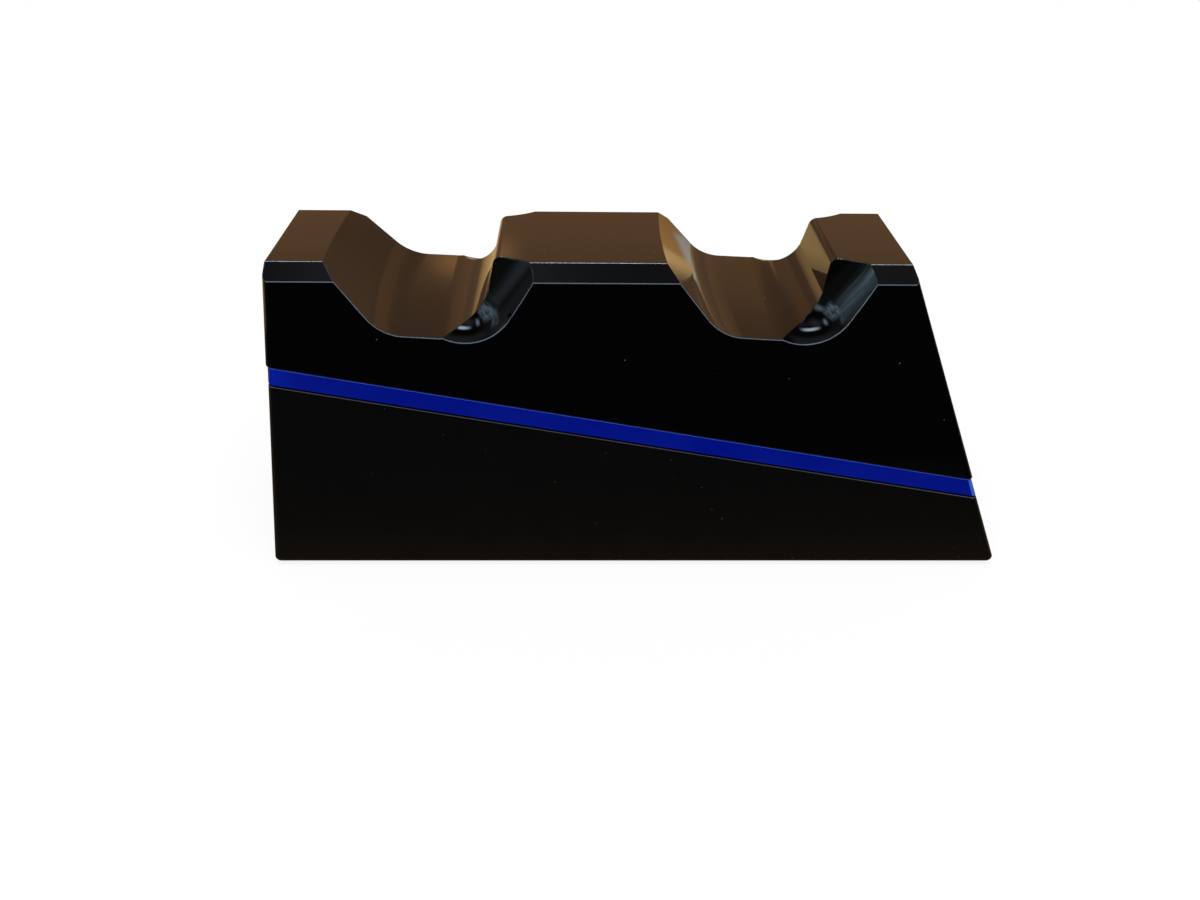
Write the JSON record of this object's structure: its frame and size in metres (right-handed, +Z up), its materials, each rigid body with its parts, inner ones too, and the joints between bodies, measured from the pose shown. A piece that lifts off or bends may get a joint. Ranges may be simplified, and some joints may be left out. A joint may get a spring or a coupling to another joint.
{
  "type": "game controller stand",
  "caption": "Slanted black desk stand with scooped cradles that game controllers straddle side by side, and a sloping blue light band between its upper and lower shells.",
  "frame": {"origin": "on the surface the stand rests on, under the middle of its base", "axes": "+X along the stand towards its steeply slanted end, +Y from the front face to the back, +Z up"},
  "size_m": [0.1901, 0.0856, 0.0746],
  "materials": {
    "gloss_black": "high gloss moulded black plastic with faint scratches and dust",
    "band_blue": "clear deep blue light guide, smooth",
    "satin_black": "satin moulded black plastic",
    "cover_black": "fine matt moulded black plastic",
    "foot_rubber": "matt soft rubber",
    "screw_steel": "zinc plated steel",
    "board_green": "green solder mask",
    "chip_black": "moulded epoxy",
    "capacitor_can": "plain aluminium can",
    "socket_steel": "nickel plated steel",
    "strip_white": "white flexible circuit",
    "plug_white": "off-white moulded nylon",
    "lamp_white": "white moulded lamp body"
  },
  "bodies": {
    "root": {"base_cover": "cover_black", "base_screws": "screw_steel", "board_screws": "screw_steel", "capacitor": "capacitor_can", "circuit_board": "board_green", "driver_chip": "chip_black", "foot_front_left": "foot_rubber", "foot_front_right": "foot_rubber", "foot_rear_left": "foot_rubber", "foot_rear_right": "foot_rubber", "lamp_front_1": "lamp_white", "lamp_front_2": "lamp_white", "lamp_front_3": "lamp_white", "lamp_front_4": "lamp_white", "lamp_front_5": "lamp_white", "lamp_front_6": "lamp_white", "lamp_rear_1": "lamp_white", "lamp_rear_2": "lamp_white", "lamp_rear_3": "lamp_white", "lamp_rear_4": "lamp_white", "lamp_rear_5": "lamp_white", "lamp_rear_6": "lamp_white", "light_band": "band_blue", "lower_shell": "satin_black", "power_socket": "socket_steel", "shell_screws": "screw_steel", "socket_tongue": "chip_black", "strip_front": "strip_white", "strip_plug_front": "plug_white", "strip_plug_rear": "plug_white", "strip_rear": "strip_white", "upper_shell": "gloss_black"}
  },
  "joints": []
}
